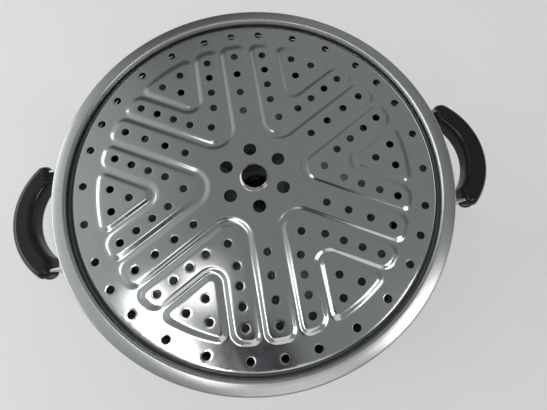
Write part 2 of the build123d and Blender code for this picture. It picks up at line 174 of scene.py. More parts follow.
class PotSizes(bpy.types.PropertyGroup):
    """Sizes of the drawn pot and its base"""

    height: FloatProperty(
        name="Height", description="Height of the lip over the hob", unit="LENGTH",
        default=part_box("pot_shell")[1].z)
    floor: FloatProperty(
        name="Floor", description="Height of the inside of the floor", unit="LENGTH",
        default=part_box("rack_foot")[0].z)
    body: FloatProperty(
        name="Body radius", description="Inner radius of the wall", unit="LENGTH",
        default=111.6 * MM)
    band: FloatProperty(
        name="Band radius", description="Inner radius of the band over the ledge",
        unit="LENGTH", default=116.8 * MM)
    lip: FloatProperty(
        name="Lip radius", description="Inner radius of the curled lip's edge", unit="LENGTH",
        default=125.4 * MM)
    sheet: FloatProperty(
        name="Sheet", description="Thickness of the sheet", unit="LENGTH", default=0.8 * MM)
    base: FloatProperty(
        name="Base radius", description="Radius of the capped base", unit="LENGTH",
        default=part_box("base_cap")[1].x)
    turns: IntProperty(
        name="Turns", description="Steps of each turned piece", default=256, min=32)


class RackSizes(bpy.types.PropertyGroup):
    """Sizes of the idli rack"""

    tray: FloatProperty(
        name="Tray radius", description="Outer radius of a tray", unit="LENGTH",
        default=103.0 * MM)
    rim: FloatProperty(
        name="Tray rim", description="Depth of a tray's rim", unit="LENGTH", default=4.0 * MM)
    sheet: FloatProperty(
        name="Tray sheet", description="Thickness of a tray's sheet", unit="LENGTH",
        default=0.8 * MM)
    cup: FloatProperty(
        name="Cup radius", description="Radius of a cup's mouth", unit="LENGTH",
        default=38.0 * MM)
    depth: FloatProperty(
        name="Cup depth", description="Depth of a cup", unit="LENGTH", default=17.0 * MM)
    circle: FloatProperty(
        name="Cup circle", description="Radius of the circle through the cups' middles",
        unit="LENGTH", default=59.0 * MM)
    mesh_step: FloatProperty(
        name="Mesh step", description="Distance between the points of a tray's mesh",
        unit="LENGTH", default=2.2 * MM)


class Finishes(bpy.types.PropertyGroup):
    """Colours of the steamer's materials"""

    steel: FloatVectorProperty(
        name="Stainless steel", description="18/8 stainless steel",
        subtype="COLOR", size=3, default=linear("D1D2D1")[:3])
    phenolic: FloatVectorProperty(
        name="Phenolic moulding", description="Black phenolic resin",
        subtype="COLOR", size=3, default=linear("0F0E0E")[:3])
    aluminium: FloatVectorProperty(
        name="Aluminium", description="Rolled aluminium",
        subtype="COLOR", size=3, default=linear("D8D9DB")[:3])
    brass: FloatVectorProperty(
        name="Brass", description="Turned brass",
        subtype="COLOR", size=3, default=linear("D9B872")[:3])


# Materials

def add_node(tree, kind, sockets=None, **settings):
    """Add a node, set its settings, and set or link its sockets."""
    made = tree.nodes.new(kind)
    for name, value in settings.items():
        setattr(made, name, value)
    for key, value in (sockets or {}).items():
        if isinstance(value, bpy.types.NodeSocket):
            tree.links.new(value, made.inputs[key])
        else:
            made.inputs[key].default_value = value
    return made


def blank_material(name):
    """A material with an empty tree, its output and the object's own coordinates."""
    material = bpy.data.materials.new(name)
    material.use_nodes = True
    tree = material.node_tree
    tree.nodes.clear()
    out = add_node(tree, "ShaderNodeOutputMaterial")
    place = add_node(tree, "ShaderNodeTexCoord").outputs["Object"]
    return material, tree, out, place


def round_coordinates(tree, place):
    """Coordinates that run out from the pot's axis and up it, for marks left by turning."""
    flat = add_node(tree, "ShaderNodeVectorMath", {0: place, 1: (1.0, 1.0, 0.0)}, operation="MULTIPLY")
    reach = add_node(tree, "ShaderNodeVectorMath", {0: flat.outputs[0]}, operation="LENGTH")
    apart = add_node(tree, "ShaderNodeSeparateXYZ", {0: place})
    angle = add_node(
        tree, "ShaderNodeMath", {0: apart.outputs["Y"], 1: apart.outputs["X"]}, operation="ARCTAN2")
    # A turning mark runs most of the way round, so the angle counts for little
    drift = add_node(tree, "ShaderNodeMath", {0: angle.outputs[0], 1: 0.0015}, operation="MULTIPLY")
    return add_node(
        tree, "ShaderNodeCombineXYZ",
        {"X": reach.outputs["Value"], "Y": apart.outputs["Z"], "Z": drift.outputs[0]}).outputs[0]


def steel_material(name, colour, roughness, turned_marks, scratches, stains, grain=0.0):
    """18/8 stainless sheet, buffed after pressing. Buffing leaves a bright haze over fine
    scratches; a lathe mop leaves rings; boiled water leaves pale blots that dull the shine."""
    material, tree, out, place = blank_material(name)
    rings = add_node(
        tree, "ShaderNodeTexNoise",
        {"Vector": round_coordinates(tree, place), "Scale": 1 / (1.1 * MM), "Detail": 4.0,
         "Roughness": 0.65})
    # Real buffing scratches are a few hundredths of a millimetre apart: drawn ten times coarser
    turn = add_node(
        tree, "ShaderNodeMapping",
        {"Vector": place, "Rotation": (0.0, 0.0, radians(24)), "Scale": (1.0, 0.06, 1.0)})
    cross = add_node(
        tree, "ShaderNodeMapping",
        {"Vector": place, "Rotation": (0.0, 0.0, radians(-52)), "Scale": (1.0, 0.05, 1.0)})
    first = add_node(
        tree, "ShaderNodeTexNoise",
        {"Vector": turn.outputs[0], "Scale": 1 / (0.7 * MM), "Detail": 3.0, "Roughness": 0.7})
    second = add_node(
        tree, "ShaderNodeTexNoise",
        {"Vector": cross.outputs[0], "Scale": 1 / (0.9 * MM), "Detail": 3.0, "Roughness": 0.7})
    lines = add_node(
        tree, "ShaderNodeMix", {0: 0.5, 2: first.outputs["Fac"], 3: second.outputs["Fac"]},
        data_type="FLOAT")
    # Haze and water blots: patches of some 25 mm with ragged edges
    cloud = add_node(
        tree, "ShaderNodeTexNoise",
        {"Vector": place, "Scale": 1 / (26 * MM), "Detail": 5.0, "Roughness": 0.6,
         "Distortion": 0.6})
    blot = add_node(
        tree, "ShaderNodeMapRange",
        {"Value": cloud.outputs["Fac"], "From Min": 0.54, "From Max": 0.72, "To Min": 0.0,
         "To Max": 1.0})
    speck = add_node(
        tree, "ShaderNodeTexNoise",
        {"Vector": place, "Scale": 1 / (3.2 * MM), "Detail": 4.0, "Roughness": 0.7})
    speckle = add_node(
        tree, "ShaderNodeMapRange",
        {"Value": speck.outputs["Fac"], "From Min": 0.60, "From Max": 0.72})
    blots = add_node(
        tree, "ShaderNodeMath", {0: blot.outputs[0], 1: stains}, operation="MULTIPLY")
    dull = add_node(
        tree, "ShaderNodeMath", {0: speckle.outputs[0], 1: 0.35 * stains, 2: blots.outputs[0]},
        operation="MULTIPLY_ADD")
    shine = add_node(
        tree, "ShaderNodeMath", {0: lines.outputs[0], 1: scratches, 2: roughness - scratches / 2},
        operation="MULTIPLY_ADD")
    ringed = add_node(
        tree, "ShaderNodeMath",
        {0: rings.outputs["Fac"], 1: turned_marks, 2: shine.outputs[0]}, operation="MULTIPLY_ADD")
    rough = add_node(
        tree, "ShaderNodeMath", {0: dull.outputs[0], 1: 0.10, 2: ringed.outputs[0]},
        operation="MULTIPLY_ADD")
    tint = add_node(
        tree, "ShaderNodeMix",
        {0: dull.outputs[0], 6: colour,
         7: (colour[0] * 0.90, colour[1] * 0.88, colour[2] * 0.80, 1.0)},
        data_type="RGBA")
    deep = add_node(
        tree, "ShaderNodeMix",
        {0: rings.outputs["Fac"], 6: tint.outputs[2],
         7: (colour[0] * 0.94, colour[1] * 0.94, colour[2] * 0.95, 1.0)},
        data_type="RGBA")
    relief = add_node(
        tree, "ShaderNodeMath",
        {0: rings.outputs["Fac"], 1: turned_marks * 5, 2: lines.outputs[0]},
        operation="MULTIPLY_ADD")
    bump = add_node(
        tree, "ShaderNodeBump",
        {"Height": relief.outputs[0], "Strength": 0.10, "Distance": 0.01 * MM})
    # Marks that run round the pot draw each highlight out across them
    round_way = add_node(tree, "ShaderNodeTangent", direction_type="RADIAL", axis="Z")
    shader = add_node(
        tree, "ShaderNodeBsdfPrincipled",
        {"Base Color": deep.outputs[2], "Roughness": rough.outputs[0], "Metallic": 1.0,
         "Anisotropic": grain, "Tangent": round_way.outputs[0], "Normal": bump.outputs[0]})
    tree.links.new(shader.outputs[0], out.inputs[0])
    return material


def phenolic_material(name, colour):
    """Black phenolic, compression moulded in a polished die: deep gloss with a faint ripple,
    wiped scratches and a little dried grease that dulls it in patches."""
    material, tree, out, place = blank_material(name)
    ripple = add_node(
        tree, "ShaderNodeTexNoise",
        {"Vector": place, "Scale": 1 / (5 * MM), "Detail": 2.0, "Roughness": 0.4})
    haze = add_node(
        tree, "ShaderNodeTexNoise",
        {"Vector": place, "Scale": 1 / (14 * MM), "Detail": 5.0, "Roughness": 0.65})
    wiped = add_node(tree, "ShaderNodeMapping", {"Vector": place, "Scale": (1.0, 0.08, 0.7)})
    scratch = add_node(
        tree, "ShaderNodeTexNoise",
        {"Vector": wiped.outputs[0], "Scale": 1 / (0.8 * MM), "Detail": 3.0, "Roughness": 0.7})
    rough = add_node(
        tree, "ShaderNodeMapRange",
        {"Value": haze.outputs["Fac"], "From Min": 0.35, "From Max": 0.75, "To Min": 0.10,
         "To Max": 0.20})
    tint = add_node(
        tree, "ShaderNodeMix",
        {0: haze.outputs["Fac"], 6: colour,
         7: (colour[0] * 2.2, colour[1] * 1.9, colour[2] * 1.6, 1.0)},
        data_type="RGBA")
    relief = add_node(
        tree, "ShaderNodeMath", {0: scratch.outputs["Fac"], 1: 0.12, 2: ripple.outputs["Fac"]},
        operation="MULTIPLY_ADD")
    bump = add_node(
        tree, "ShaderNodeBump",
        {"Height": relief.outputs[0], "Strength": 0.25, "Distance": 0.12 * MM})
    shader = add_node(
        tree, "ShaderNodeBsdfPrincipled",
        {"Base Color": tint.outputs[2], "Roughness": rough.outputs[0], "IOR": 1.5,
         "Normal": bump.outputs[0]})
    tree.links.new(shader.outputs[0], out.inputs[0])
    return material


def turned_metal_material(name, colour, roughness, pitch):
    """Bar metal cut on a lathe: fine feed marks that run round the piece and blur its shine."""
    material, tree, out, place = blank_material(name)
    marks = add_node(
        tree, "ShaderNodeTexNoise",
        {"Vector": round_coordinates(tree, place), "Scale": 1 / pitch, "Detail": 3.0,
         "Roughness": 0.6})
    cloud = add_node(
        tree, "ShaderNodeTexNoise",
        {"Vector": place, "Scale": 1 / (9 * MM), "Detail": 4.0, "Roughness": 0.6})
    rough = add_node(
        tree, "ShaderNodeMapRange",
        {"Value": marks.outputs["Fac"], "From Min": 0.3, "From Max": 0.7,
         "To Min": roughness * 0.75, "To Max": roughness * 1.3})
    tint = add_node(
        tree, "ShaderNodeMix",
        {0: cloud.outputs["Fac"], 6: colour,
         7: (colour[0] * 0.84, colour[1] * 0.83, colour[2] * 0.80, 1.0)},
        data_type="RGBA")
    bump = add_node(
        tree, "ShaderNodeBump",
        {"Height": marks.outputs["Fac"], "Strength": 0.3, "Distance": 0.02 * MM})
    shader = add_node(
        tree, "ShaderNodeBsdfPrincipled",
        {"Base Color": tint.outputs[2], "Roughness": rough.outputs[0], "Metallic": 1.0,
         "Normal": bump.outputs[0]})
    tree.links.new(shader.outputs[0], out.inputs[0])
    return material


def floor_material(name):
    """Pale matt studio floor with a faint mottle."""
    material, tree, out, place = blank_material(name)
    mottle = add_node(tree, "ShaderNodeTexNoise", {"Vector": place, "Scale": 9.0, "Detail": 3.0})
    tint = add_node(
        tree, "ShaderNodeMix",
        {0: mottle.outputs["Fac"], 6: linear("F0F0EE"), 7: linear("E9E9E7")}, data_type="RGBA")
    shader = add_node(
        tree, "ShaderNodeBsdfPrincipled",
        {"Base Color": tint.outputs[2], "Roughness": 0.8})
    tree.links.new(shader.outputs[0], out.inputs[0])
    return material


MADE = {}


def finish(kind):
    """The named finish, made the first time that it is asked for."""
    if kind not in MADE:
        colours = bpy.context.scene.steamer_finishes
        steel = (*colours.steel, 1.0)
        makers = {
            "plate_steel": lambda: steel_material(
                "buffed_stainless_plate", steel, 0.12, 0.02, 0.07, 0.5),
            "pot_steel": lambda: steel_material(
                "mopped_stainless_pot", steel, 0.18, 0.10, 0.05, 0.4, 0.35),
            "tray_steel": lambda: steel_material(
                "pressed_stainless_tray", steel, 0.30, 0.02, 0.10, 0.7),
            "strap_steel": lambda: steel_material(
                "tumbled_stainless_strap", steel, 0.27, 0.0, 0.14, 0.4),
            "cap_steel": lambda: steel_material(
                "ground_stainless_base", steel, 0.28, 0.16, 0.06, 0.9, 0.6),
            "bar_steel": lambda: turned_metal_material(
                "turned_stainless_bar", steel, 0.20, 0.6 * MM),
            "aluminium": lambda: turned_metal_material(
                "rolled_aluminium_core", (*colours.aluminium, 1.0), 0.34, 0.9 * MM),
            "brass": lambda: turned_metal_material(
                "turned_brass_insert", (*colours.brass, 1.0), 0.26, 0.5 * MM),
            "phenolic": lambda: phenolic_material(
                "moulded_black_phenolic", (*colours.phenolic, 1.0)),
            "floor": lambda: floor_material("matt_pale_floor"),
        }
        MADE[kind] = makers[kind]()
    return MADE[kind]


# Mesh tools

def deselect():
    """Leave edit mode and let go of everything that is selected."""
    if bpy.context.object and bpy.context.object.mode != "OBJECT":
        bpy.ops.object.mode_set(mode="OBJECT")
    bpy.ops.object.select_all(action="DESELECT")


def make_active(piece):
    """Make this the only selected object and the active one."""
    deselect()
    piece.select_set(True)
    bpy.context.view_layer.objects.active = piece


def rounded_path(corners, bends, steps=8):
    """Points of a path in the XZ plane with an arc at each corner that has a bend radius."""
    flat = [Vector((x, z)) for x, z in corners]
    path = [flat[0]]
    for before, corner, after, bend in zip(flat, flat[1:], flat[2:], bends):
        if not bend:
            path.append(corner)
            continue
        into, away = (before - corner).normalized(), (after - corner).normalized()
        half = into.angle(away) / 2
        set_back = bend / (sin(half) / cos(half))
        middle = corner + (into + away).normalized() * (bend / sin(half))
        start, end = corner + into * set_back - middle, corner + away * set_back - middle
        first = atan2(start.y, start.x)
        turn = (atan2(end.y, end.x) - first + pi) % (2 * pi) - pi
        for i in range(steps + 1):
            angle = first + turn * i / steps
            path.append(middle + Vector((cos(angle), sin(angle))) * bend)
    path.append(flat[-1])
    return [Vector((p.x, 0.0, p.y)) for p in path]


def spun(name, path, turns, hint=None):
    """Draw a path point by point, spin it about the pot's axis and close its seam."""
    deselect()
    bpy.ops.mesh.primitive_plane_add(size=MM, location=path[0], enter_editmode=True)
    piece = bpy.context.object
    piece.name = piece.data.name = name
    bpy.ops.mesh.select_mode(type="VERT")
    bpy.ops.mesh.select_all(action="SELECT")
    bpy.ops.mesh.merge(type="CENTER")
    for before, point in zip(path, path[1:]):
        bpy.ops.mesh.extrude_vertices_move(TRANSFORM_OT_translate={"value": point - before})
    bpy.ops.mesh.select_all(action="SELECT")
    bpy.ops.mesh.spin(steps=turns, angle=2 * pi, center=(0, 0, 0), axis=(0, 0, 1))
    bpy.ops.mesh.select_all(action="SELECT")
    bpy.ops.mesh.remove_doubles(threshold=WELD * MM)
    bpy.ops.mesh.dissolve_degenerate(threshold=0.001 * MM)
    bpy.ops.mesh.select_all(action="SELECT")
    bpy.ops.mesh.normals_make_consistent(inside=False)
    bpy.ops.object.mode_set(mode="OBJECT")
    bpy.ops.object.transform_apply(location=True, rotation=True, scale=True)
    if hint:
        # On an open shell, the side that gets the sheet is told by one face near the hint
        near = min(piece.data.polygons, key=lambda face: (face.center - hint[0]).length)
        if near.normal.dot(hint[1]) < 0:
            bpy.ops.object.mode_set(mode="EDIT")
            bpy.ops.mesh.select_all(action="SELECT")
            bpy.ops.mesh.flip_normals()
            bpy.ops.object.mode_set(mode="OBJECT")
    return piece


def thicken(piece, sheet, offset=-1.0):
    """Give an open sheet its thickness, below or above its faces."""
    make_active(piece)
    wall = piece.modifiers.new("Sheet", "SOLIDIFY")
    wall.thickness = sheet
    wall.offset = offset
    wall.use_even_offset = True
    bpy.ops.object.modifier_apply(modifier=wall.name)


def smooth(piece, degrees=35):
    """Shade smooth, with an edge kept wherever the faces turn more sharply than this."""
    make_active(piece)
    bpy.ops.object.shade_smooth_by_angle(angle=radians(degrees))


def dress(piece, kind, body, slot, *nodes):
    """Give a piece its finish, its body and the nodes that it stands for; the slot that it is given is
    not used.
    """
    piece.data.materials.clear()
    piece.data.materials.append(finish(kind))
    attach(piece, body)
    if nodes:
        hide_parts(*nodes)


def merged_copy(name, node):
    """A copy of a CAD node with its loose triangles joined."""
    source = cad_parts[node]
    piece = bpy.data.objects.new(name, source.data.copy())
    bpy.context.scene.collection.objects.link(piece)
    make_active(piece)
    bpy.ops.object.mode_set(mode="EDIT")
    bpy.ops.mesh.select_all(action="SELECT")
    bpy.ops.mesh.remove_doubles(threshold=WELD * MM)
    bpy.ops.mesh.tris_convert_to_quads(face_threshold=radians(2), shape_threshold=radians(2))
    bpy.ops.object.mode_set(mode="OBJECT")
    return piece


def soften(piece, width, segments=2):
    """Round every sharp edge, as tumbling or buffing does."""
    make_active(piece)
    bevel = piece.modifiers.new("Edge", "BEVEL")
    bevel.width = width
    bevel.segments = segments
    bevel.limit_method = "ANGLE"
    bevel.angle_limit = radians(40)
    bpy.ops.object.modifier_apply(modifier=bevel.name)


def moulded(piece, voxel, passes):
    """Make one even skin of a piece and relax it, so that its edges run as in a moulding."""
    make_active(piece)
    skin = piece.modifiers.new("Skin", "REMESH")
    skin.mode = "VOXEL"
    skin.voxel_size = voxel
    bpy.ops.object.modifier_apply(modifier=skin.name)
    relax = piece.modifiers.new("Relax", "SMOOTH")
    relax.factor = 0.5
    relax.iterations = passes
    bpy.ops.object.modifier_apply(modifier=relax.name)


def pressed_sheet(name, outline, edge_steps, step, vents, rings, level):
    """Lay points over a round blank, cut its vents, join the points and press the blank.

    A press gives no face or edge that a primitive could start from, so the blank is
    triangulated between its vents and each point is lifted to the level of the die.
    Vents are (x, y, radius); rings are (x, y, radii, steps) and only place points."""
    points, lines, owners, blocked = [], [], [], set()
    row_step = step * sin(pi / 3)

    def block(x, y, inner, outer):
        for row in range(ceil((y - outer) / row_step), floor((y + outer) / row_step) + 1):
            shift = step / 2 if row % 2 else 0.0
            first, last = ceil((x - outer - shift) / step), floor((x + outer - shift) / step)
            for column in range(first, last + 1):
                away = hypot(column * step + shift - x, row * row_step - y)
                if inner < away < outer:
                    blocked.add((column, row))

    def ring(x, y, radius, steps, owner=None):
        first = len(points)
        for i in range(steps):
            angle = 2 * pi * i / steps
            points.append(Vector((x + radius * cos(angle), y + radius * sin(angle))))
            owners.append(owner)
        if owner is not None:
            lines.extend((first + i, first + (i + 1) % steps) for i in range(steps))

    ring(0.0, 0.0, outline, edge_steps, -1)
    for number, (x, y, radius) in enumerate(vents):
        steps = max(FEWEST_VENT_POINTS, int(2 * pi * radius / (VENT_STEP * MM)))
        steps = min(steps, MOST_VENT_POINTS)
        ring(x, y, radius, steps, number)
        ring(x, y, radius + VENT_MARGIN * MM, steps)
        block(x, y, -1.0, radius + VENT_MARGIN * MM + step * 0.5)
    for x, y, radii, steps in rings:
        for radius in radii:
            ring(x, y, radius, steps)
        block(x, y, min(radii) - step * 0.5, max(radii) + step * 0.5)
    reach = ceil(outline / row_step)
    for row in range(-reach, reach + 1):
        shift = step / 2 if row % 2 else 0.0
        for column in range(-reach - 1, reach + 2):
            point = Vector((column * step + shift, row * row_step))
            if (column, row) not in blocked and point.length < outline - step * 0.6:
                points.append(point)
                owners.append(None)
    scaled = [point / MM for point in points]
    flat, _, faces, origin, *_ = geometry.delaunay_2d_cdt(scaled, lines, [], 0, 1e-5)
    owner_of = [owners[source[0]] if source else None for source in origin]
    kept = []
    for face in faces:
        held = {owner_of[corner] for corner in face}
        if len(held) == 1 and held != {None} and held != {-1}:
            continue
        kept.append(face)
    corners = []
    for point, owner in zip(flat, owner_of):
        x, y = point.x * MM, point.y * MM
        # The punch pulls the rim of a vent down a little, which gives it a soft bright edge
        rolled = VENT_ROLL * MM if owner is not None and owner >= 0 else 0.0
        corners.append((x, y, level(x, y) - rolled))
    mesh = bpy.data.meshes.new(name)
    mesh.from_pydata(corners, [], kept)
    piece = bpy.data.objects.new(name, mesh)
    bpy.context.scene.collection.objects.link(piece)
    return piece


def quarter_bend(radius, level, bend, steps):
    """(radius, height) steps of a quarter bend. A bend above zero runs outwards and falls, one
    below zero runs inwards and climbs."""
    quarter = [pi / 2 * i / steps for i in range(steps + 1)]
    return [(radius + bend * sin(angle), level - bend * (1 - cos(angle))) for angle in quarter]


def extend_ring(piece, radius, moves):
    """Extrude the open edge at a radius through (radius, height) steps."""
    near, far = radius - EDGE_SEARCH * MM, radius + EDGE_SEARCH * MM
    make_active(piece)
    bpy.ops.object.mode_set(mode="EDIT")
    bpy.ops.mesh.select_mode(type="EDGE")
    bpy.ops.mesh.select_all(action="DESELECT")
    work = bmesh.from_edit_mesh(piece.data)
    for edge in work.edges:
        if edge.is_boundary and all(near < v.co.xy.length < far for v in edge.verts):
            edge.select_set(True)
    bmesh.update_edit_mesh(piece.data)
    here = moves[0]
    for there in moves[1:]:
        bpy.ops.mesh.extrude_edges_move(
            TRANSFORM_OT_translate={"value": (0.0, 0.0, there[1] - here[1])})
        share = there[0] / here[0]
        bpy.ops.transform.resize(value=(share, share, 1.0), center_override=(0.0, 0.0, 0.0))
        here = there
    bpy.ops.object.mode_set(mode="OBJECT")


# Shapes of the pressed plate

def groove_distance(x, y, offset, bend):
    """Distance from a groove's line in one sector: positive towards the sector's middle."""
    across = x * sin(HALF_SECTOR) - y * cos(HALF_SECTOR)
    if across >= offset + bend:
        return across - offset
    tip = (offset + bend) / sin(HALF_SECTOR)
    along = (x - tip) * cos(HALF_SECTOR) + y * sin(HALF_SECTOR)
    if along > 0:
        return across - offset
    return bend - hypot(x - tip, y)


def pad_distance(groove, edge, corner):
    """Distance inside a pad's top, with its outer corners rounded."""
    short, low = max(corner - groove, 0.0), max(corner - edge, 0.0)
    if short == 0.0 and low == 0.0:
        return corner
    return corner - hypot(short, low)


def plate_level(size, x, y):
    """Height of the pressed plate over its flat, at a point."""
    radius, angle = hypot(x, y), atan2(y, x)
    turn = angle - round(angle / (2 * HALF_SECTOR)) * 2 * HALF_SECTOR
    local_x, local_y = radius * cos(turn), abs(radius * sin(turn))
    outer = groove_distance(local_x, local_y, size.outer_groove, size.outer_bend)
    inner = groove_distance(local_x, local_y, size.inner_groove, size.inner_bend)
    edge = size.pad_radius - radius
    inside = max(
        pad_distance(-outer - size.groove, edge, size.pad_corner),
        pad_distance(min(outer, -inner) - size.groove, edge, size.pad_corner),
        pad_distance(inner - size.groove, edge, size.pad_corner))
    share = min(max(1 + inside / size.slope, 0.0), 1.0)
    pressed = size.rise * share * share * (3 - 2 * share)
    wave = noise.noise(Vector((x / (PLATE_WAVE * MM), y / (PLATE_WAVE * MM), 0.3)))
    fade = min(max((size.radius - radius) / (PLATE_WAVE_FADE * MM), 0.0), 1.0)
    return pressed + PLATE_WAVE_HEIGHT * MM * wave * fade


def plate_vents(size):
    """Middles and radii of the plate's vents."""
    vents = [(0.0, 0.0, size.collar_radius + size.collar_bend)]

    def vent(radius, angle, bore):
        vents.append((radius * cos(angle), radius * sin(angle), bore))

    for sector in range(SECTORS):
        middle = sector * 2 * HALF_SECTOR
        for angle in RING_ANGLES:
            vent(RING_CIRCLE * MM, middle + radians(angle), size.vent)
        for i in range(ROW_VENTS):
            vent((ARM_START + ARM_PITCH * i) * MM, middle + HALF_SECTOR, size.vent)
        vent(HUB_CIRCLE * MM, middle + HALF_SECTOR, size.hub_vent)
        vent(BAND_TIP * MM, middle, size.vent)
        vent(TRIANGLE_TIP * MM, middle, size.vent)
        for side in (-1, 1):
            vent(
                hypot(TRIANGLE_BASE, TRIANGLE_SPREAD) * MM,
                middle + side * atan2(TRIANGLE_SPREAD, TRIANGLE_BASE), size.vent)
            for i in range(ROW_VENTS):
                along, across = (BAND_START + BAND_PITCH * i) * MM, BAND_SIDE * MM
                x = along * cos(HALF_SECTOR) + across * sin(HALF_SECTOR)
                y = along * sin(HALF_SECTOR) - across * cos(HALF_SECTOR)
                vent(hypot(x, y), middle + side * atan2(y, x), size.vent)
    return vents


class STEAMER_OT_plate(bpy.types.Operator):
    """Make the pressed, vented steaming plate with its collar and rim"""

    bl_idname = "steamer.plate"
    bl_label = "Steaming plate"

    def execute(self, context):
        size = context.scene.steamer_plate
        top = size.ledge + size.drop
        start = size.radius - size.bend
        piece = pressed_sheet(
            "steaming_plate", start, edge_steps=480, step=size.mesh_step,
            vents=plate_vents(size), rings=(), level=lambda x, y: top + plate_level(size, x, y))
        extend_ring(
            piece, start, quarter_bend(start, top, size.bend, 6) + [(size.radius, size.ledge)])
        foot = size.collar_radius + size.collar_bend
        crown = top + COLLAR_HEIGHT * MM
        neck = quarter_bend(foot, top + size.rise, -size.collar_bend, 6)
        mouth = [
            (size.collar_radius - inset * MM, crown - drop * MM) for inset, drop in COLLAR_ROUND]
        extend_ring(piece, foot, neck + mouth)
        thicken(piece, size.sheet)
        smooth(piece, 40)
        dress(piece, "plate_steel", "plate", "stainless", "steamer_plate")
        return {"FINISHED"}


class STEAMER_OT_pot(bpy.types.Operator):
    """Make the drawn pot with its ledge, band and curled lip"""

    bl_idname = "steamer.pot"
    bl_label = "Pot"

    def execute(self, context):
        size = context.scene.steamer_pot
        ledge, hem = size.height - LEDGE_DROP * MM, size.height - HEM_DROP * MM
        path = rounded_path(
            [(0.0, size.floor), (FLOOR_RING * MM, size.floor), (size.body, size.floor),
             (size.body, WALL_RING * MM), (size.body, ledge), (size.band, ledge),
             (size.band, size.height), (size.lip, size.height - LIP_FALL * MM),
             (size.lip + HEM_FLARE * MM, hem), (size.lip - HEM_RETURN * MM, hem)],
            [0, FLOOR_BEND * MM, 0, LEDGE_BEND * MM, BAND_BEND * MM, LIP_BEND * MM,
             HEM_BEND * MM, HEM_EDGE_BEND * MM])
        piece = spun(
            "pot_body", path, size.turns,
            (Vector((size.body, 0.0, WALL_SIDE * MM)), Vector((1.0, 0.0, 0.0))))
        thicken(piece, size.sheet, 1.0)
        smooth(piece, 50)
        dress(piece, "pot_steel", "pot", "stainless", "pot_shell")
        return {"FINISHED"}


class STEAMER_OT_base(bpy.types.Operator):
    """Make the base cap and give the core its finish"""

    bl_idname = "steamer.base"
    bl_label = "Base"

    def execute(self, context):
        size = context.scene.steamer_pot
        sheet, top = CAP_SHEET * MM, CAP_HEIGHT * MM
        path = rounded_path(
            [(0.0, 0.0), (size.base, 0.0), (size.base, top), (size.base - sheet, top),
             (size.base - sheet, sheet), (0.0, sheet)],
            [CAP_BEND * MM, 0, 0, CAP_INNER_BEND * MM])
        piece = spun("base_cap_ground", path, size.turns)
        smooth(piece, 40)
        dress(piece, "cap_steel", "pot", "stainless", "base_cap")
        for node, kind in (("base_core", "aluminium"), ("handle_inserts", "brass")):
            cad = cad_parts[node]
            cad.data.materials.clear()
            cad.data.materials.append(finish(kind))
        return {"FINISHED"}


class STEAMER_OT_grips(bpy.types.Operator):
    """Make the moulded grips, their brackets and their screws"""

    bl_idname = "steamer.grips"
    bl_label = "Grips"

    def execute(self, context):
        for side in ("right", "left"):
            grip = merged_copy("grip_" + side, "handle_" + side)
            moulded(grip, voxel=0.45 * MM, passes=4)
            smooth(grip, 55)
            dress(grip, "phenolic", "pot", "bakelite", "handle_" + side)
            strap = merged_copy("strap_" + side, "bracket_" + side)
            soften(strap, width=0.35 * MM)
            smooth(strap, 35)
            dress(strap, "strap_steel", "pot", "stainless", "bracket_" + side)
        screws = merged_copy("grip_screws", "handle_screws")
        soften(screws, width=0.12 * MM)
        smooth(screws, 30)
        dress(screws, "bar_steel", "pot", "stainless", "handle_screws")
        return {"FINISHED"}


class STEAMER_OT_trays(bpy.types.Operator):
    """Make the three idli trays"""

    bl_idname = "steamer.trays"
    bl_label = "Idli trays"

    def execute(self, context):
        size = context.scene.steamer_rack
        sphere = (size.cup ** 2 + size.depth ** 2) / (2 * size.depth)
        bend, soft = TRAY_BEND * MM, CUP_SOFTNESS * MM
        for number, name in enumerate(("lower", "middle", "upper")):
            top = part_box("tray_" + name)[1].z
            turn = number * pi / 4
            middles = [
                (size.circle * cos(turn + k * pi / 2), size.circle * sin(turn + k * pi / 2))
                for k in range(4)]

            def level(x, y, top=top, middles=middles):
                away = min(hypot(x - cx, y - cy) for cx, cy in middles)
                bowl = min(away, sphere * 0.99)
                deep = sphere - size.depth - sqrt(max(sphere ** 2 - bowl ** 2, 0.0))
                # The lip of a cup turns over a small radius
                blend = -soft * 0.5 * (sqrt((deep / soft) ** 2 + 1) - deep / soft)
                deep = blend if away < size.cup + CUP_REACH * MM else 0.0
                wave = noise.noise(
                    Vector((x / (TRAY_WAVE * MM), y / (TRAY_WAVE * MM), 2.0 + number)))
                return top + deep - TRAY_WAVE_HEIGHT * MM * (1 + wave)

            vents = [(0.0, 0.0, STEM_HOLE * MM)]
            for k, (cx, cy) in enumerate(middles):
                vents.append((cx, cy, DRAIN_HOLE * MM))
                for hole in range(DRAIN_COUNT):
                    angle = turn + k * pi / 2 + hole * 2 * pi / DRAIN_COUNT
                    vents.append((
                        cx + DRAIN_CIRCLE * MM * cos(angle), cy + DRAIN_CIRCLE * MM * sin(angle),
                        DRAIN_HOLE * MM))
                steam = turn + pi / 4 + k * pi / 2
                vents.append((
                    STEAM_CIRCLE * MM * cos(steam), STEAM_CIRCLE * MM * sin(steam),
                    STEAM_HOLE * MM))
            cup = size.cup / MM
            radii = [(cup + away) * MM for away in CUP_RINGS]
            rings = [(cx, cy, radii, 120) for cx, cy in middles]
            start = size.tray - bend
            piece = pressed_sheet(
                "idli_tray_" + name, start, edge_steps=360, step=size.mesh_step, vents=vents,
                rings=rings, level=level)
            extend_ring(
                piece, start, quarter_bend(start, top, bend, 5) + [(size.tray, top - size.rim)])
            thicken(piece, size.sheet)
            smooth(piece, 40)
            dress(piece, "tray_steel", "tray_" + name, "stainless", "tray_" + name)
        return {"FINISHED"}


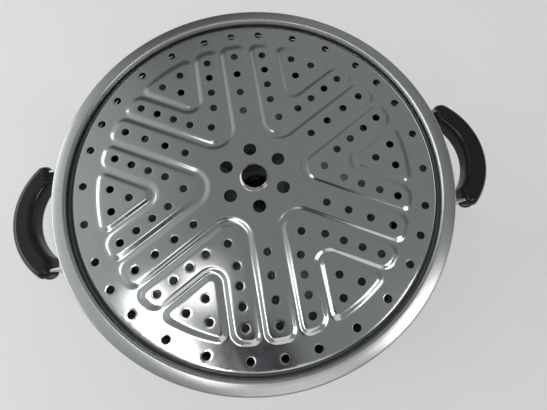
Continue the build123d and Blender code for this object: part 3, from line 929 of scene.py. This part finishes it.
class STEAMER_OT_rack(bpy.types.Operator):
    """Make the rack's foot, stem, sleeves, washer and knob"""

    bl_idname = "steamer.rack"
    bl_label = "Rack"

    def execute(self, context):
        foot = merged_copy("rack_foot_strap", "rack_foot")
        soften(foot, width=0.30 * MM)
        smooth(foot, 35)
        dress(foot, "strap_steel", "rack", "stainless", "rack_foot")
        low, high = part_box("rack_stem")
        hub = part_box("rack_foot")[1].z
        rod, tenon, rivet, reach = ROD * MM, TENON * MM, RIVET * MM, COLLAR_REACH * MM
        collar, sheet_foot, cut = hub + COLLAR_RISE * MM, hub - RIVET_HEIGHT * MM, ROD_CHAMFER * MM
        path = rounded_path(
            [(0.0, low.z), (rivet, low.z), (rivet, sheet_foot), (tenon, sheet_foot),
             (tenon, hub), (reach, hub), (reach, collar), (rod, collar),
             (rod, high.z - cut), (rod - cut, high.z), (0.0, high.z)],
            [RIVET_ROUND * MM, 0, 0, 0, COLLAR_EDGE * MM, COLLAR_EDGE * MM, 0, ROD_EDGE * MM,
             ROD_EDGE * MM])
        stem = spun("rack_stem_rod", path, turns=64)
        smooth(stem, 35)
        dress(stem, "bar_steel", "rack", "stainless", "rack_stem")
        sleeves = [("spacer_" + name, SLEEVE_REACH) for name in ("lower", "middle", "upper")]
        middle, bore = SLEEVE_MIDDLE * MM, STEM_HOLE * MM
        for node, reach in sleeves + [("knob_washer", WASHER_REACH)]:
            low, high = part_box(node)
            path = rounded_path(
                [(middle, low.z), (reach * MM, low.z), (reach * MM, high.z), (bore, high.z),
                 (bore, low.z), (middle, low.z)],
                [SLEEVE_EDGE * MM, SLEEVE_EDGE * MM, SLEEVE_BORE_EDGE * MM, SLEEVE_BORE_EDGE * MM],
                steps=4)
            sleeve = spun(node + "_turned", path, turns=64)
            smooth(sleeve, 35)
            dress(sleeve, "bar_steel", "rack", "stainless", node)
        knob = merged_copy("rack_knob_moulded", "rack_knob")
        moulded(knob, voxel=0.30 * MM, passes=3)
        smooth(knob, 55)
        dress(knob, "phenolic", "knob", "bakelite", "rack_knob")
        return {"FINISHED"}


class STEAMER_OT_stage(bpy.types.Operator):
    """Lay the floor and set the lights, the world and the camera"""

    bl_idname = "steamer.stage"
    bl_label = "Stage"

    def execute(self, context):
        deselect()
        bpy.ops.mesh.primitive_plane_add(size=14.0, location=(0.0, 0.0, 0.0))
        ground = bpy.context.object
        ground.name = "studio_floor"
        ground.data.materials.append(finish("floor"))

        def soft_box(name, place, aim, width, height, power):
            lamp = bpy.data.lights.new(name, "AREA")
            lamp.shape = "RECTANGLE"
            lamp.size, lamp.size_y, lamp.energy = width, height, power
            holder = bpy.data.objects.new(name, lamp)
            bpy.context.scene.collection.objects.link(holder)
            holder.location = place
            holder.rotation_euler = (Vector(aim) - Vector(place)).to_track_quat("-Z", "Y").to_euler()

        # Each lamp with its place, the point it faces, its width and height, and its power
        soft_box("window_light", (-0.405, -0.22, 1.42), (-0.05, -0.06, 0.17), 0.60, 0.11, 0.97)
        soft_box("veil_light", (-0.28, 0.02, 1.42), (-0.04, -0.05, 0.17), 0.17, 0.15, 0.15)
        soft_box("side_light", (-1.15, 0.30, 0.72), (0.0, 0.0, 0.17), 1.20, 0.62, 3.9)
        soft_box("front_light", (0.68, -0.42, 1.28), (0.0, 0.0, 0.17), 0.36, 0.36, 1.3)

        world = bpy.data.worlds.new("pale_room")
        bpy.context.scene.world = world
        world.use_nodes = True
        tree = world.node_tree
        tree.nodes.clear()
        sky = add_node(tree, "ShaderNodeTexCoord").outputs["Generated"]
        # The steel mirrors a plain grey room: a pale wall on the left, duller ones behind and on
        # the right, a bright patch in front and a dark spot overhead where the camera stands.
        # Each patch has its direction, the angles where it is full and where it ends, its colour
        shade = linear("86898A")
        for toward, near, far, colour in (
                ((-0.20, 0.90, 0.38), 10, 33, "545655"), ((-0.80, 0.25, 0.55), 14, 46, "B8C0BC"),
                ((0.90, 0.20, 0.35), 10, 38, "666867"), ((0.02, -0.45, 0.89), 10, 14, "F2F2F4"),
                ((-0.08, -0.18, 0.98), 6, 8.5, "24262E")):
            line = add_node(
                tree, "ShaderNodeVectorMath", {0: sky, 1: Vector(toward).normalized()},
                operation="DOT_PRODUCT")
            share = add_node(
                tree, "ShaderNodeMapRange",
                {"Value": line.outputs["Value"], "From Min": cos(radians(far)),
                 "From Max": cos(radians(near))},
                interpolation_type="SMOOTHSTEP")
            shade = add_node(
                tree, "ShaderNodeMix", {0: share.outputs[0], 6: shade, 7: linear(colour)},
                data_type="RGBA").outputs[2]
        apart = add_node(tree, "ShaderNodeSeparateXYZ", {0: sky})
        climb = add_node(
            tree, "ShaderNodeMapRange",
            {"Value": apart.outputs["Z"], "From Min": 0.04, "From Max": 0.22},
            interpolation_type="SMOOTHSTEP")
        pale = add_node(
            tree, "ShaderNodeMix", {0: climb.outputs[0], 6: linear("DCDCDA"), 7: shade},
            data_type="RGBA")
        # Eye and mirror see that room; matt surfaces get one plain level of light, at which a
        # colour shows about as it is written
        path = add_node(tree, "ShaderNodeLightPath")
        seen = add_node(
            tree, "ShaderNodeMath",
            {0: path.outputs["Is Camera Ray"], 1: path.outputs["Is Glossy Ray"]}, operation="ADD")
        clear = add_node(
            tree, "ShaderNodeMath", {0: seen.outputs[0], 1: path.outputs["Is Transmission Ray"]},
            operation="ADD", use_clamp=True)
        level = add_node(
            tree, "ShaderNodeMix", {0: clear.outputs[0], 6: linear("D2D2D2"), 7: pale.outputs[2]},
            data_type="RGBA")
        room = add_node(tree, "ShaderNodeBackground", {"Color": level.outputs[2]})
        add_node(tree, "ShaderNodeOutputWorld", {"Surface": room.outputs[0]})

        lens = bpy.data.cameras.new("photo_camera")
        lens.sensor_width = 36.0
        lens.lens = 22.69
        lens.clip_start = 0.01
        camera = bpy.data.objects.new("photo_camera", lens)
        bpy.context.scene.collection.objects.link(camera)
        # The place and turn that lay the plate's vents and the lip over those in the photo
        camera.location = (-1.97 * MM, -74.73 * MM, 382.42 * MM)
        camera.rotation_euler = Euler((radians(15.118), radians(-0.276), radians(-9.938)))
        bpy.context.scene.camera = camera
        bpy.context.scene.view_settings.view_transform = "Standard"
        return {"FINISHED"}


class STEAMER_PT_panel(bpy.types.Panel):
    """Sizes, finishes and steps of the steamer"""

    bl_label = "Steamer"
    bl_idname = "STEAMER_PT_panel"
    bl_space_type = "VIEW_3D"
    bl_region_type = "UI"
    bl_category = "Steamer"

    def draw(self, context):
        layout = self.layout
        for group in ("steamer_plate", "steamer_pot", "steamer_rack", "steamer_finishes"):
            box = layout.box()
            owner = getattr(context.scene, group)
            for name in owner.bl_rna.properties.keys():
                if name not in ("rna_type", "name"):
                    box.prop(owner, name)
        for step in STEPS:
            layout.operator(step.bl_idname)


GROUPS = {
    "steamer_plate": PlateSizes, "steamer_pot": PotSizes, "steamer_rack": RackSizes,
    "steamer_finishes": Finishes}
STEPS = (
    STEAMER_OT_stage, STEAMER_OT_pot, STEAMER_OT_base, STEAMER_OT_grips, STEAMER_OT_plate,
    STEAMER_OT_trays, STEAMER_OT_rack)


def register():
    for made in (*GROUPS.values(), *STEPS, STEAMER_PT_panel):
        bpy.utils.register_class(made)
    for name, group in GROUPS.items():
        setattr(bpy.types.Scene, name, PointerProperty(type=group))


def unregister():
    for name in GROUPS:
        delattr(bpy.types.Scene, name)
    for made in (STEAMER_PT_panel, *reversed(STEPS), *reversed(GROUPS.values())):
        bpy.utils.unregister_class(made)


def main():
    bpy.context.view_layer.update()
    register()
    bpy.ops.steamer.stage()
    bpy.ops.steamer.pot()
    bpy.ops.steamer.base()
    bpy.ops.steamer.grips()
    bpy.ops.steamer.plate()
    bpy.ops.steamer.trays()
    bpy.ops.steamer.rack()


if __name__ == "__main__":
    main()
